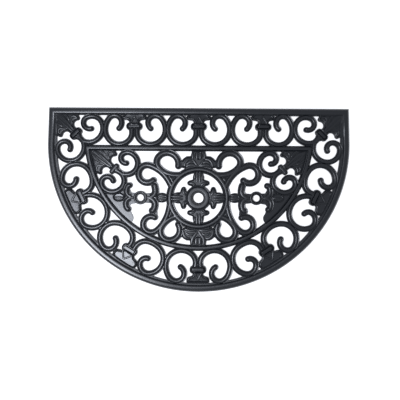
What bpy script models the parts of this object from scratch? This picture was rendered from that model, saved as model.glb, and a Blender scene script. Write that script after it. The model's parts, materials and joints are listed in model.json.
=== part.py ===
"""Half-round rubber doormat with cut-through scrollwork, moulded in one piece.

Metres, +Z up. The mat lies flat on z = 0 with its origin under its middle. The straight
edge is at +Y, the curved edge at -Y, and the right half is a mirror image of the left.
Tables are in millimetres and degrees. Their headings turn counter-clockwise from +X.
"""

import math
from collections import namedtuple

import bmesh
import bpy

MM = 0.001

# The whole mat
WIDTH = 750.0
DEPTH = 457.0
CURVE_HEIGHT = 366.0
CORNER_LEAN = 2.5

# Levels of the moulding above the floor
TOP = 9.5
RIDGE = 9.0
PLATE = 6.5
FLANGE = 5.0
WEB = 3.0

# Outer rim, as distances inwards from the mat's edge
RIM_WIDTH = 18.0
RIM_CROWN = (1.5, 13.5)

# Inner D-shaped frame
FRAME_TOP_Y = 129.0
FRAME_RADIUS = 277.5
FRAME_CENTRE_Y = 158.0
FRAME_WIDTH = 13.5

# Round window in the middle, its boss and the small rings beside it
WINDOW = (0.0, 5.0)
WINDOW_RADIUS = 71.0
WINDOW_WIDTH = 12.8
BOSS_HOLE, BOSS_CROWN, BOSS_RADIUS = 12.2, 22.0, 30.5
SMALL_RING = (-144.0, 5.0)
SMALL_HOLE, SMALL_CROWN, SMALL_RADIUS = 7.6, 11.5, 15.2

# How finely round shapes are cut: the most that a chord may leave its arc
SAG = 1.0
RIM_STEPS, FRAME_STEP, WINDOW_STEPS, BOSS_STEPS, SMALL_STEPS, OVAL_STEPS = 36, 7.5, 30, 18, 12, 12

# Bars that follow a row of tangent arcs, each arc a radius and a turn. Every bar starts
# a little early, inside the collar or ring that it grows from
PITCH = 160.0
LEAD_IN = 6.0
SHOULDER_SHARE = 0.93
NOSE_REACH, NOSE_SIZE = 0.44, 0.45
LEFT, RIGHT = 1, -1

Bar = namedtuple("Bar", "width start heading side bends")
PAIR_SCROLL = Bar(14.5, (6.5, 168.0), -93, LEFT, ((27, 52), (37, 129), (43, 43), (19, 71), (18, 120)))
SCROLLS = {
    "corner_upper": Bar(13.8, (-296.5, 156.5), -71, LEFT, ((21, 57), (35, 124), (27, 100), (15, 170))),
    "corner_lower": Bar(13.8, (-300.5, 154.5), -15, RIGHT,
        ((21, 60), (35, 112), (31, 80), (18, 105), (14, 107))),
    "side_upper": Bar(15.0, (-285.5, 16.0), 12, LEFT, ((28, 76), (49, 39), (37, 145), (18, 177))),
    "side_lower": Bar(14.6, (-281.0, 10.0), 15, RIGHT, ((44, 108), (38, 110), (21, 129), (14, 75))),
    "curve_upper": Bar(15.0, (-170.0, -113.5), 46, LEFT, ((27, 74), (47, 63), (37, 121), (19, 173))),
    "curve_lower": Bar(15.0, (-157.5, -120.0), 64, RIGHT,
        ((30, 80), (60, 26), (38, 132), (22, 106), (15, 99))),
    "bottom": Bar(15.2, (-7.0, -165.0), 73, LEFT, ((28, 64), (39, 137), (55, 21), (30, 36), (19, 178))),
    "field_upper": Bar(15.0, (-204.0, 77.0), -61, LEFT, ((29, 39), (28, 181), (20, 55), (13, 148))),
    "field_lower": Bar(15.0, (-200.5, 70.5), -22, RIGHT, ((26, 110), (31, 89), (20, 57), (15, 155))),
    "lyre_top": Bar(17.2, (-55.0, 61.0), 182, RIGHT, ((55, 53), (20, 77), (28, 152))),
    "lyre_upper": Bar(17.2, (-72.5, 44.5), 118, LEFT, ((85, 43), (22, 243))),
    "lyre_lower": Bar(16.2, (-71.5, -15.5), -97, RIGHT, ((100, 35), (43, 18), (20, 218))),
    "lyre_bottom": Bar(17.2, (-61.0, -42.5), -160, LEFT, ((56, 41), (22, 116), (26, 125))),
}

# Pedestals that stand on the rim and hold two scrolls each under a collar. Place and
# axis are the collar's, foot is how far the pedestal reaches behind it
Pedestal = namedtuple("Pedestal", "place axis foot half_foot half_neck collar")
PEDESTALS = (
    Pedestal((-PITCH, 182.0), -90, 33, 23.5, 11.5, (18.3, 9.2)),
    Pedestal((0.0, 182.0), -90, 33, 23.5, 11.5, (18.3, 9.2)),
    Pedestal((-290.5, 7.5), 24, 40, 27.5, 13.5, (20.0, 9.7)),
    Pedestal((-171.0, -124.5), 57, 40, 27.5, 13.5, (20.0, 9.7)),
    Pedestal((0.0, -172.5), 90, 40, 27.5, 13.5, (20.0, 9.7)),
)
COLLAR_ROUND = 7.5

# Leaves that fill the corners of the rim and of the frame, fanned from a tie
Leaf = namedtuple("Leaf", "tie axis tie_size reach lobe hollow")
LEAVES = (
    Leaf((-305.0, 163.0), 135, (16.5, 8.5), 80, (29.7, 25.5), (19.8, 13.0)),
    Leaf((-209.0, 77.0), 141, (11.5, 5.5), 86, (28.6, 23.0), (16.9, 12.6)),
)
LOBE_RADIUS = 5.3
HOLLOW_RADIUS = 10.6
TIE_ROUND_SHARE = 0.8

# Ribs of one leaf, across and along its axis from the tie
RIB_WIDTH, RIB_TOP = 5.0, 8.0
LEAF_RIBS = (
    ((2.6, 11.0), (3.2, 50.0)), ((9.0, 16.0), (12.5, 44.0)), ((15.5, 27.0), (22.5, 37.0), (31.5, 31.0)),
)

# Stem with two lobes that joins the boss to the window, four times round the window.
# Its half outline and ribs are across and out from the window's middle
FLEUR = (
    (13.0, 67.0), (12.5, 52.0), (13.5, 47.0), (17.0, 45.0), (21.0, 44.5), (25.0, 41.0), (25.5, 37.0),
    (23.0, 33.5), (18.0, 32.0), (15.5, 30.0), (16.0, 26.0),
)
FLEUR_RIBS = (((5.0, 65.0), (5.0, 45.0)), ((4.0, 33.0), (9.0, 37.5), (21.5, 39.0)))

# Palmettes above and below the window: half outline, bud and ribs
TOP_PALMETTE = (
    (15.0, 124.0), (15.5, 117.0), (17.5, 113.0), (17.0, 108.5), (30.0, 106.5), (36.0, 103.0), (39.5, 99.0),
    (48.0, 97.0), (48.0, 80.0), (35.5, 79.0), (35.0, 72.0),
)
TOP_BUD = ((0.0, 110.5), 11.5, 9.5)
TOP_RIBS = (
    ((4.0, 85.0), (14.0, 97.0), (28.0, 100.0), (35.0, 93.0)), ((9.0, 87.0), (19.0, 93.0), (30.0, 90.0)),
)
BOTTOM_PALMETTE = (
    (17.0, -117.0), (18.0, -104.0), (20.0, -101.0), (27.0, -100.5), (34.0, -97.0), (38.0, -93.0),
    (46.0, -94.0), (48.0, -86.0), (42.0, -72.0), (30.0, -66.0), (20.0, -60.0),
)
BOTTOM_BUD = ((0.0, -104.0), 12.0, 12.5)
BOTTOM_RIBS = (
    ((5.0, -77.0), (18.0, -79.5), (33.0, -75.0)), ((9.0, -84.0), (15.0, -89.5), (24.0, -89.5), (33.0, -80.0)),
)

# Arm that joins the window to the frame through the small ring: four curls, a leaf at
# each end and a thin web behind them
CURLS = (
    Bar(18.0, (-118.0, 7.0), 20, LEFT, ((16, 75), (60, 12))),
    Bar(18.0, (-118.0, 3.0), -20, RIGHT, ((16, 75), (42, 14))),
    Bar(14.0, (-168.0, 8.0), 160, RIGHT, ((14, 75), (40, 12), (8, 40))),
    Bar(14.0, (-168.0, 2.0), -160, LEFT, ((14, 75), (40, 10), (8, 40))),
)
ARM_LEAVES = (((-90.0, 5.0), 15.0, 11.5), ((-197.0, 6.0), 15.0, 10.5))
ARM_STEM = ((-190.0, 6.0), (-158.0, 5.0)), ((-130.0, 5.0), (-98.0, 5.0))
ARM_STEM_WIDTH = 15.0
WEB_BULGE = ((-176.0, -45.0), 14.8)

# Thin webs in the forks of the scrolls beside the window
FORK_WEBS = (
    ((-55.0, 61.0), (-85.0, 62.0), (-75.0, 42.0), (-60.0, 48.0)),
    ((-60.0, -42.0), (-80.0, -50.0), (-82.0, -42.0), (-74.0, -20.0), (-60.0, -35.0)),
    ((-117.0, -26.0), (-104.0, -26.0), (-103.0, -36.0), (-116.0, -34.0)),
)


def polar(centre, radius, angle):
    turn = math.radians(angle)
    return (centre[0] + radius * math.cos(turn), centre[1] + radius * math.sin(turn))


def flat_step(radius):
    """The turn of a chord that leaves its arc by the sag."""
    return 2 * math.degrees(math.acos(1 - SAG / radius))


def arc(centre, radius, first, last, step=None):
    count = max(1, round(abs(last - first) / (step or flat_step(radius))))
    return [polar(centre, radius, first + (last - first) * i / count) for i in range(count + 1)]


def oval(centre, half_width, half_height, steps):
    turns = [math.tau * i / steps for i in range(steps)]
    return [(centre[0] + half_width * math.cos(t), centre[1] + half_height * math.sin(t)) for t in turns]


def placed(points, place, axis):
    """Local points, across and along an axis, put on the mat."""
    across, along = polar((0, 0), 1, axis - 90), polar((0, 0), 1, axis)
    return [
        (place[0] + x * across[0] + y * along[0], place[1] + x * across[1] + y * along[1])
        for x, y in points
    ]


def mirrored(points):
    return [(-x, y) for x, y in points]


def both_halves(points):
    """A half outline and its mirror image, as one closed outline."""
    return list(points) + [(-x, y) for x, y in reversed(points) if abs(x) > 1e-6]


def chain(bar):
    """Points along a bar's tangent arcs, and the heading at its end."""
    heading = bar.heading
    points = [polar(bar.start, -LEAD_IN, heading), bar.start]
    for radius, turn in bar.bends:
        centre = polar(points[-1], bar.side * radius, heading + 90)
        steps = max(1, round(turn / flat_step(radius)))
        for i in range(1, steps + 1):
            points.append(polar(centre, -bar.side * radius, heading + 90 + bar.side * turn * i / steps))
        heading += bar.side * turn
    return points, heading


def inset(points, distance):
    """A closed counter-clockwise outline moved inwards, with its corners mitred."""
    moved = []
    for i, (x, y) in enumerate(points):
        normals = []
        for (ax, ay), (bx, by) in ((points[i - 1], points[i]), (points[i], points[(i + 1) % len(points)])):
            length = math.hypot(bx - ax, by - ay)
            normals.append(((ay - by) / length, (bx - ax) / length))
        (px, py), (qx, qy) = normals
        scale = distance / (1 + px * qx + py * qy)
        moved.append((x + (px + qx) * scale, y + (py + qy) * scale))
    return moved


def mat_outline():
    """The half-round edge: a straight side at +Y, and an ellipse that closes it."""
    top = DEPTH / 2
    centre_y = CURVE_HEIGHT - top
    curve = []
    for i in range(RIM_STEPS + 1):
        turn = math.pi + math.pi * i / RIM_STEPS
        curve.append((WIDTH / 2 * math.cos(turn), centre_y + CURVE_HEIGHT * math.sin(turn)))
    return [(-WIDTH / 2 + CORNER_LEAN, top)] + curve + [(WIDTH / 2 - CORNER_LEAN, top)]


def frame_outline(outwards):
    """The D-shaped frame's line, moved outwards."""
    radius = FRAME_RADIUS + outwards
    rise = math.degrees(math.asin((FRAME_CENTRE_Y - FRAME_TOP_Y - outwards) / radius))
    return arc((0, FRAME_CENTRE_Y), radius, 180 + rise, 360 - rise, FRAME_STEP)


def collection(name):
    made = bpy.data.collections.new(name)
    bpy.context.scene.collection.children.link(made)
    return made


def flat_curve(name, outlines):
    """A 2D curve object of closed outlines."""
    data = bpy.data.curves.new(name, "CURVE")
    data.dimensions = "2D"
    data.fill_mode = "BOTH"
    for points in outlines:
        spline = data.splines.new("POLY")
        spline.points.add(len(points) - 1)
        for place, (x, y) in zip(spline.points, points):
            place.co = (x * MM, y * MM, 0, 1)
        spline.use_cyclic_u = True
    return bpy.data.objects.new(name, data)


def as_piece(source, pieces):
    """Turns a curve or a screwed profile into a closed mesh among the pieces."""
    bpy.context.scene.collection.objects.link(source)
    graph = bpy.context.evaluated_depsgraph_get()
    mesh = bpy.data.meshes.new_from_object(source.evaluated_get(graph))
    work = bmesh.new()
    work.from_mesh(mesh)
    bmesh.ops.remove_doubles(work, verts=work.verts, dist=0.01 * MM)
    bmesh.ops.recalc_face_normals(work, faces=work.faces)
    work.to_mesh(mesh)
    work.free()
    piece = bpy.data.objects.new(source.name, mesh)
    piece.matrix_world = source.matrix_world
    pieces.objects.link(piece)
    bpy.data.objects.remove(source)
    return piece


def slab(name, outlines, height, pieces):
    """A flat plate from the floor to a height. Outlines after the first are its holes."""
    source = flat_curve(name, outlines)
    source.data.extrude = height / 2 * MM
    source.location.z = height / 2 * MM
    return as_piece(source, pieces)


def section(name, corners, guides):
    """A closed profile for bars, each corner as its place across the bar and its height."""
    guide = flat_curve(name, [corners])
    guide.data.fill_mode = "NONE"
    guides.objects.link(guide)
    return guide


def bar_along(name, points, profile, pieces, sizes=None):
    """A bar with one section along a path. Sizes scale the section at each point."""
    data = bpy.data.curves.new(name, "CURVE")
    data.dimensions = "2D"
    data.bevel_mode = "OBJECT"
    data.bevel_object = profile
    data.use_fill_caps = True
    spline = data.splines.new("POLY")
    spline.points.add(len(points) - 1)
    for i, (x, y) in enumerate(points):
        spline.points[i].co = (x * MM, y * MM, 0, 1)
        spline.points[i].radius = sizes[i] if sizes else 1.0
    return as_piece(bpy.data.objects.new(name, data), pieces)


def turned(name, centre, corners, steps, pieces):
    """A ring from its (radius, height) profile, which runs down its outer side."""
    mesh = bpy.data.meshes.new(name)
    count = len(corners)
    mesh.from_pydata(
        [(radius * MM, 0, height * MM) for radius, height in corners],
        [(i, (i + 1) % count) for i in range(count)], [],
    )
    source = bpy.data.objects.new(name, mesh)
    source.location = (centre[0] * MM, centre[1] * MM, 0)
    screw = source.modifiers.new("turned", "SCREW")
    screw.steps = screw.render_steps = steps
    screw.use_merge_vertices = True
    screw.merge_threshold = 0.01 * MM
    return as_piece(source, pieces)


def ridged(width):
    """Section of a scroll: upright sides and a ridge along its middle."""
    foot, shoulder = width / 2, width / 2 * SHOULDER_SHARE
    return [(-foot, 0), (foot, 0), (shoulder, FLANGE), (0, RIDGE), (-shoulder, FLANGE)]


def rounded_block(half_length, half_width, radius):
    quarter = arc((half_length - radius, half_width - radius), radius, 0, 90)
    right = [(x, -y) for x, y in reversed(quarter)] + quarter
    return both_halves(right)


def make_rim(pieces):
    edge = mat_outline()
    slab("rim_crown", [inset(edge, RIM_CROWN[0]), inset(edge, RIM_CROWN[1])], TOP, pieces)
    return slab("rim", [edge, inset(edge, RIM_WIDTH)], FLANGE, pieces)


def make_frame(pieces):
    half = FRAME_WIDTH / 2
    slab("frame_foot", [frame_outline(half), frame_outline(-half)], FLANGE, pieces)
    bead = half * 0.55
    slab("frame_bead", [frame_outline(bead), frame_outline(-bead)], TOP, pieces)


def make_rings(pieces):
    half = WINDOW_WIDTH / 2
    turned("window", WINDOW, [
        (WINDOW_RADIUS, TOP), (WINDOW_RADIUS + half, FLANGE), (WINDOW_RADIUS + half, 0),
        (WINDOW_RADIUS - half, 0), (WINDOW_RADIUS - half, FLANGE),
    ], WINDOW_STEPS, pieces)
    turned("boss", WINDOW, [
        (BOSS_CROWN, TOP), (BOSS_RADIUS, PLATE), (BOSS_RADIUS, 0), (BOSS_HOLE, 0), (BOSS_HOLE + 2, PLATE),
    ], BOSS_STEPS, pieces)
    turned("small_ring", SMALL_RING, [
        (SMALL_CROWN, TOP), (SMALL_RADIUS, FLANGE), (SMALL_RADIUS, 0), (SMALL_HOLE, 0), (SMALL_HOLE, FLANGE),
    ], SMALL_STEPS, pieces)


def make_bar(name, bar, place, profile, pieces):
    """A bar that ends in a rounded nose."""
    points, heading = chain(bar)
    points.append(polar(points[-1], NOSE_REACH * bar.width, heading))
    sizes = [1.0] * (len(points) - 1) + [NOSE_SIZE]
    bar_along(name, place(points), profile, pieces, sizes)


def make_scrolls(pieces, guides):
    for name, bar in SCROLLS.items():
        make_bar(name, bar, list, section("scroll_section", ridged(bar.width), guides), pieces)
    pair = section("scroll_section", ridged(PAIR_SCROLL.width), guides)
    for axis, side in ((-PITCH, LEFT), (-PITCH, RIGHT), (0.0, RIGHT)):
        make_bar("pair", PAIR_SCROLL, lambda points: [(axis + side * x, y) for x, y in points], pair, pieces)


def make_ribs(halves, place, axis, profile, pieces):
    """Ribs given for one half of an ornament, made on both of its halves."""
    for half in halves:
        for points in (half, mirrored(half)):
            bar_along("rib", placed(points, place, axis), profile, pieces)


def make_pedestals(pieces, rib):
    for pedestal in PEDESTALS:
        foot, half_foot, neck = pedestal.foot, pedestal.half_foot, pedestal.half_neck
        half = [
            (half_foot, -foot), (half_foot, -foot + 11), (half_foot - 2.5, -foot + 15.5),
            (half_foot - 7, -foot + 17.5), (neck + 1.5, -foot + 21), (neck, -foot + 26), (neck + 3, 0),
        ]
        slab("pedestal", [placed(both_halves(half), pedestal.place, pedestal.axis)], FLANGE, pieces)
        length, width = pedestal.collar
        collar = rounded_block(length, width, COLLAR_ROUND)
        slab("collar", [placed(collar, pedestal.place, pedestal.axis)], TOP, pieces)
        chevron = [(-half_foot + 8, -foot + 13), (0, -foot + 21), (half_foot - 8, -foot + 13)]
        bar_along("chevron", placed(chevron, pedestal.place, pedestal.axis), rib, pieces)


def make_leaves(pieces, rib):
    for leaf in LEAVES:
        (lobe_x, lobe_y), (hollow_x, hollow_y) = leaf.lobe, leaf.hollow
        half = (
            [(0, leaf.tie_size[1]), (6, leaf.tie_size[1])]
            + arc((hollow_x, hollow_y), HOLLOW_RADIUS, 190, 60)
            + arc((lobe_x, lobe_y), LOBE_RADIUS, -110, 10)
            + [(lobe_x + 13, lobe_y + 9), (0, leaf.reach)]
        )
        slab("leaf", [placed(both_halves(half), leaf.tie, leaf.axis)], FLANGE, pieces)
        length, width = leaf.tie_size
        tie = rounded_block(length, width, width * TIE_ROUND_SHARE)
        slab("tie", [placed(tie, leaf.tie, leaf.axis)], TOP, pieces)
        make_ribs(LEAF_RIBS, leaf.tie, leaf.axis, rib, pieces)


def make_fleurs(pieces, rib):
    for axis in (0, 90, 180, 270):
        slab("fleur", [placed(both_halves(FLEUR), WINDOW, axis)], FLANGE, pieces)
        make_ribs(FLEUR_RIBS, WINDOW, axis, rib, pieces)


def make_palmettes(pieces, rib):
    for name, half, bud, ribs in (
        ("top", TOP_PALMETTE, TOP_BUD, TOP_RIBS),
        ("bottom", BOTTOM_PALMETTE, BOTTOM_BUD, BOTTOM_RIBS),
    ):
        slab(name + "_palmette", [both_halves(half)], FLANGE, pieces)
        slab(name + "_bud", [oval(*bud, OVAL_STEPS)], RIDGE, pieces)
        make_ribs(ribs, (0, 0), 90, rib, pieces)


def make_arm(pieces, guides):
    """The curls and leaves stand on a web that leaves the small ring's hole open."""
    window_x = -74.0
    web = (
        [(window_x, 15.5), (-168, 15.5), (-170, 25), (-168, 36), (-184, 44)]
        + [(-190, 30), (-213, 18.5), (-232, 24)]
        + arc((0, FRAME_CENTRE_Y), FRAME_RADIUS, 209, 231.5, FRAME_STEP)
        + arc(*WEB_BULGE, -70, 45)
        + [(-168, -27), (-172, -18), (-166, -8), (-134, -6), (window_x, -5.5)]
    )
    slab("arm_web", [web, oval(SMALL_RING, SMALL_CROWN, SMALL_CROWN, SMALL_STEPS)], WEB, pieces)
    for bar in CURLS:
        make_bar("curl", bar, list, section("curl_section", ridged(bar.width), guides), pieces)
    for leaf in ARM_LEAVES:
        slab("arm_leaf", [oval(*leaf, OVAL_STEPS)], PLATE, pieces)
    stem = section("stem_section", ridged(ARM_STEM_WIDTH), guides)
    for points in ARM_STEM:
        bar_along("arm_stem", points, stem, pieces)
    for web in FORK_WEBS:
        slab("fork_web", [web], WEB, pieces)


def clean(mesh):
    """Merges the slivers that a union leaves, and joins faces that lie in one plane."""
    work = bmesh.new()
    work.from_mesh(mesh)
    bmesh.ops.remove_doubles(work, verts=work.verts, dist=0.03 * MM)
    bmesh.ops.dissolve_degenerate(work, edges=work.edges, dist=0.03 * MM)
    bmesh.ops.dissolve_limit(work, angle_limit=0.002, verts=work.verts, edges=work.edges)
    return work


def unite(base, pieces):
    """Joins the pieces into the base, and keeps the half at -X, open at the mirror plane."""
    pieces.objects.unlink(base)
    bpy.context.scene.collection.objects.link(base)
    joined = base.modifiers.new("joined", "BOOLEAN")
    joined.operand_type = "COLLECTION"
    joined.operation = "UNION"
    joined.collection = pieces
    graph = bpy.context.evaluated_depsgraph_get()
    mesh = bpy.data.meshes.new_from_object(base.evaluated_get(graph))
    mesh.transform(base.matrix_world)
    work = clean(mesh)
    bmesh.ops.bisect_plane(
        work, geom=work.verts[:] + work.edges[:] + work.faces[:], dist=0.01 * MM,
        plane_co=(0, 0, 0), plane_no=(1, 0, 0), clear_outer=True,
    )
    work.to_mesh(mesh)
    work.free()
    for piece in [base] + list(pieces.objects):
        bpy.data.objects.remove(piece)
    return mesh


def black_rubber():
    material = bpy.data.materials.new("black_rubber")
    material.use_nodes = True
    shader = material.node_tree.nodes["Principled BSDF"]
    shader.inputs["Base Color"].default_value = (0.022, 0.025, 0.031, 1)
    shader.inputs["Roughness"].default_value = 0.42
    shader.inputs["Metallic"].default_value = 0.0
    return material


def main():
    for old in list(bpy.data.objects):
        bpy.data.objects.remove(old)
    home = collection("half_round_doormat")
    pieces = collection("pieces")
    guides = collection("guides")
    rib_side = RIB_WIDTH / 2
    rib = section("rib_section", [(-rib_side, WEB), (rib_side, WEB), (0, RIB_TOP)], guides)
    base = make_rim(pieces)
    make_frame(pieces)
    make_rings(pieces)
    make_scrolls(pieces, guides)
    make_pedestals(pieces, rib)
    make_leaves(pieces, rib)
    make_fleurs(pieces, rib)
    make_palmettes(pieces, rib)
    make_arm(pieces, guides)
    mesh = unite(base, pieces)
    for guide in list(guides.objects):
        bpy.data.objects.remove(guide)
    mat = bpy.data.objects.new("mat", mesh)
    mesh.materials.append(black_rubber())
    home.objects.link(mat)
    mirror = mat.modifiers.new("right_half", "MIRROR")
    mirror.merge_threshold = 0.02 * MM


main()
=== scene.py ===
"""Half-round rubber doormat with cut-through scrollwork, moulded in one piece.

Metres, +Z up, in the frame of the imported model: the mat lies flat on z = 0 with its origin
under its middle, its straight edge at +Y and its curved edge at -Y. The mat's tables are in
millimetres and degrees, the floor's and the lamps' in metres. Headings turn
counter-clockwise from +X, and every form is given for the left half, which is mirrored once
all of them are joined.
"""

import math
from collections import namedtuple

import bmesh
import bpy
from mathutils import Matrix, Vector
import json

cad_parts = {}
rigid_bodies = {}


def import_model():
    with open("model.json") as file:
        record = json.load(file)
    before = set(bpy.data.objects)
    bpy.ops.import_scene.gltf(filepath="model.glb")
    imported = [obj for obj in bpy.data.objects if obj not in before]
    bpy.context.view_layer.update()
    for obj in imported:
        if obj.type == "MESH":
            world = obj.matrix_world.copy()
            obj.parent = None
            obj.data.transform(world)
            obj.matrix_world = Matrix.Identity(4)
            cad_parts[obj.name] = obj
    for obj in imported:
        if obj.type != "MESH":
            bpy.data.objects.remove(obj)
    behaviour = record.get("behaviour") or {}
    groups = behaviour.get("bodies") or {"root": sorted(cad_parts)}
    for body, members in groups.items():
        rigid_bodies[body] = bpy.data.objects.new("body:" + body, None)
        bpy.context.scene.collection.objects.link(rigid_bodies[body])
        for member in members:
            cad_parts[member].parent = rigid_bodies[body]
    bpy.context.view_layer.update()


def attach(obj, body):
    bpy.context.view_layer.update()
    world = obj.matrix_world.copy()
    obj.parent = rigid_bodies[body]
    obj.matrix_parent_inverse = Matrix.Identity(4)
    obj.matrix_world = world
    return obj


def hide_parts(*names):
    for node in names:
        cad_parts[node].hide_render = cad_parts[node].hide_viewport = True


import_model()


# Rubber compound. The whole mat is one shot of black rubber with a faint blue cast, satin
# from the mould's steel. Its fine grain is the mould's blasted finish. The low grounds keep
# the mould's gloss, and the raised beads are worn a little duller and darker by shoes.

MM = 0.001
RUBBER_LOW = (0.0058, 0.0070, 0.0094, 1)
RUBBER_HIGH = (0.0050, 0.0061, 0.0084, 1)
RUBBER_ROUGH_LOW, RUBBER_ROUGH_HIGH = 0.23, 0.25
RUBBER_IOR = 1.52
WORN_FROM, WORN_TO, WORN_SPREAD = 4.5, 8.8, 0.5
CLOUD_SCALE, WAVE_SCALE, GRAIN_SCALE = 26.0, 90.0, 1700.0
WAVE_STRENGTH, WAVE_DEPTH = 0.12, 0.6
GRAIN_STRENGTH, GRAIN_DEPTH = 0.22, 0.12

# A Mix node's colour sockets share their names with hidden ones, so they go by number.
MIX_FACTOR, MIX_FIRST, MIX_SECOND, MIX_RESULT = 0, 6, 7, 2


def add_node(tree, kind, inputs, **settings):
    """A node, with each input either joined to another node's output or given a value."""
    made = tree.nodes.new(kind)
    for name, value in settings.items():
        setattr(made, name, value)
    for name, value in inputs.items():
        if isinstance(value, bpy.types.NodeSocket):
            tree.links.new(value, made.inputs[name])
        else:
            made.inputs[name].default_value = value
    return made


def black_rubber():
    """Satin rubber whose colour and gloss follow the height of the moulding."""
    made = bpy.data.materials.new("moulded_black_rubber")
    made.use_nodes = True
    tree = made.node_tree
    shader = tree.nodes["Principled BSDF"]
    where = tree.nodes.new("ShaderNodeTexCoord").outputs["Object"]
    place = add_node(tree, "ShaderNodeSeparateXYZ", {"Vector": where})
    raised = add_node(tree, "ShaderNodeMapRange", {
        "Value": place.outputs["Z"], "From Min": WORN_FROM * MM, "From Max": WORN_TO * MM,
    })
    cloud = add_node(tree, "ShaderNodeTexNoise", {
        "Vector": where, "Scale": CLOUD_SCALE, "Detail": 4.0,
    })
    height = add_node(tree, "ShaderNodeMath", {
        0: cloud.outputs["Fac"], 1: WORN_SPREAD, 2: -WORN_SPREAD / 2,
    }, operation="MULTIPLY_ADD")
    worn = add_node(tree, "ShaderNodeMath", {
        0: raised.outputs["Result"], 1: height.outputs["Value"],
    }, operation="ADD", use_clamp=True)
    colour = add_node(tree, "ShaderNodeMix", {
        MIX_FACTOR: worn.outputs["Value"], MIX_FIRST: RUBBER_LOW, MIX_SECOND: RUBBER_HIGH,
    }, data_type="RGBA")
    gloss = add_node(tree, "ShaderNodeMapRange", {
        "Value": worn.outputs["Value"], "To Min": RUBBER_ROUGH_LOW, "To Max": RUBBER_ROUGH_HIGH,
    })
    grain = add_node(tree, "ShaderNodeTexNoise", {
        "Vector": where, "Scale": GRAIN_SCALE, "Detail": 2.0,
    })
    waves = add_node(tree, "ShaderNodeTexNoise", {
        "Vector": where, "Scale": WAVE_SCALE, "Detail": 3.0,
    })
    broad = add_node(tree, "ShaderNodeBump", {
        "Height": waves.outputs["Fac"], "Strength": WAVE_STRENGTH, "Distance": WAVE_DEPTH * MM,
    })
    fine = add_node(tree, "ShaderNodeBump", {
        "Height": grain.outputs["Fac"], "Strength": GRAIN_STRENGTH, "Distance": GRAIN_DEPTH * MM,
        "Normal": broad.outputs["Normal"],
    })
    tree.links.new(colour.outputs[MIX_RESULT], shader.inputs["Base Color"])
    tree.links.new(gloss.outputs["Result"], shader.inputs["Roughness"])
    tree.links.new(fine.outputs["Normal"], shader.inputs["Normal"])
    shader.inputs["Metallic"].default_value = 0.0
    shader.inputs["IOR"].default_value = RUBBER_IOR
    return made


rubber = black_rubber()


# Outer rim, the tapered border of the mat. It is solid rubber, moulded with all the rest: a
# sloping outer side that nobody trips over, a broad crown, then a low ledge that is wider at
# the sides than along the straight edge.

WIDTH, DEPTH, CURVE_HEIGHT, CORNER_LEAN = 750.0, 457.0, 366.0, 2.5
RIM_SIDE, RIM_TOP, RIM_BOTTOM = 23.0, 19.0, 21.5
RIM_STEPS = 108
RIM_SECTION = (
    (0, 0), (0, 2.8), (0.8, 4.6), (2.1, 6.3), (3.7, 7.8), (5.1, 8.8), (6.2, 9.3), (7.3, 9.5),
    (11.5, 9.4), (13.6, 9.0), (15.0, 8.4), (16.0, 7.2), (16.8, 5.8), (17.5, 5.2),
)
LEDGE_SECTION = ((-0.9, 4.9), (-0.3, 4.4), (0, 3.8), (0, 0))
NEGLIGIBLE = 1e-6

forms = bpy.data.collections.new("mould_forms")
bpy.context.scene.collection.children.link(forms)


def counter_clockwise(points):
    sides = zip(points, points[1:] + points[:1])
    doubled = sum(ax * by - bx * ay for (ax, ay), (bx, by) in sides)
    return points if doubled > 0 else points[::-1]


def crossing(point, along, other, across):
    """Where two lines meet, each given by a point and a direction."""
    turn = along[0] * across[1] - along[1] * across[0]
    if abs(turn) < NEGLIGIBLE:
        return other
    reach = ((other[0] - point[0]) * across[1] - (other[1] - point[1]) * across[0]) / turn
    return (point[0] + reach * along[0], point[1] + reach * along[1])


def inset(points, distance):
    """A closed counter-clockwise outline moved inwards. The ends of a side that would turn round
    fall together, where its neighbours meet."""
    count = len(points)
    sides, moved = [], []
    for i, (x, y) in enumerate(points):
        to_x, to_y = points[(i + 1) % count]
        length = math.hypot(to_x - x, to_y - y)
        sides.append(((to_x - x) / length, (to_y - y) / length))
        moved.append((x - distance * sides[i][1], y + distance * sides[i][0]))
    kept = list(range(count))
    while True:
        corners = {i: crossing(moved[kept[k - 1]], sides[kept[k - 1]], moved[i], sides[i])
            for k, i in enumerate(kept)}
        runs = {i: (corners[kept[(k + 1) % len(kept)]][0] - corners[i][0]) * sides[i][0]
            + (corners[kept[(k + 1) % len(kept)]][1] - corners[i][1]) * sides[i][1]
            for k, i in enumerate(kept)}
        shortest = min(kept, key=runs.get)
        if runs[shortest] >= 0 or len(kept) < 4:
            break
        kept.remove(shortest)
    return [corners[next((k for k in kept if k >= i), kept[0])] for i in range(count)]


def add_form(name, mesh):
    """Puts a closed mesh among the forms of the mould, faces outwards."""
    work = bmesh.new()
    work.from_mesh(mesh)
    bmesh.ops.recalc_face_normals(work, faces=work.faces)
    bmesh.ops.triangulate(work, faces=[face for face in work.faces if len(face.verts) > 4])
    work.to_mesh(mesh)
    work.free()
    mesh.materials.clear()
    mesh.materials.append(rubber)
    form = bpy.data.objects.new(name, mesh)
    forms.objects.link(form)
    return form


def ring(outline, inwards, height):
    return [(x * MM, y * MM, height * MM) for x, y in inset(outline, inwards)]


def banded(name, rings, filled=False):
    """A band through closed rings of corners. A filled form is capped over its two end rings."""
    count = len(rings[0])
    corners = [place for loop in rings for place in loop]
    faces = []
    for k in range(len(rings) if not filled else len(rings) - 1):
        low, high = k * count, (k + 1) % len(rings) * count
        for i in range(count):
            j = (i + 1) % count
            faces.append((low + i, low + j, high + j, high + i))
    if filled:
        faces.append(tuple(range(count)))
        faces.append(tuple(range(len(corners) - count, len(corners))))
    mesh = bpy.data.meshes.new(name)
    mesh.from_pydata(corners, [], faces)
    return add_form(name, mesh)


def lofted(name, outline, section, filled=False):
    """A band that follows one outline. Its section gives each ring's inward step and height."""
    outline = counter_clockwise(outline)
    return banded(name, [ring(outline, *step) for step in section], filled)


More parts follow.
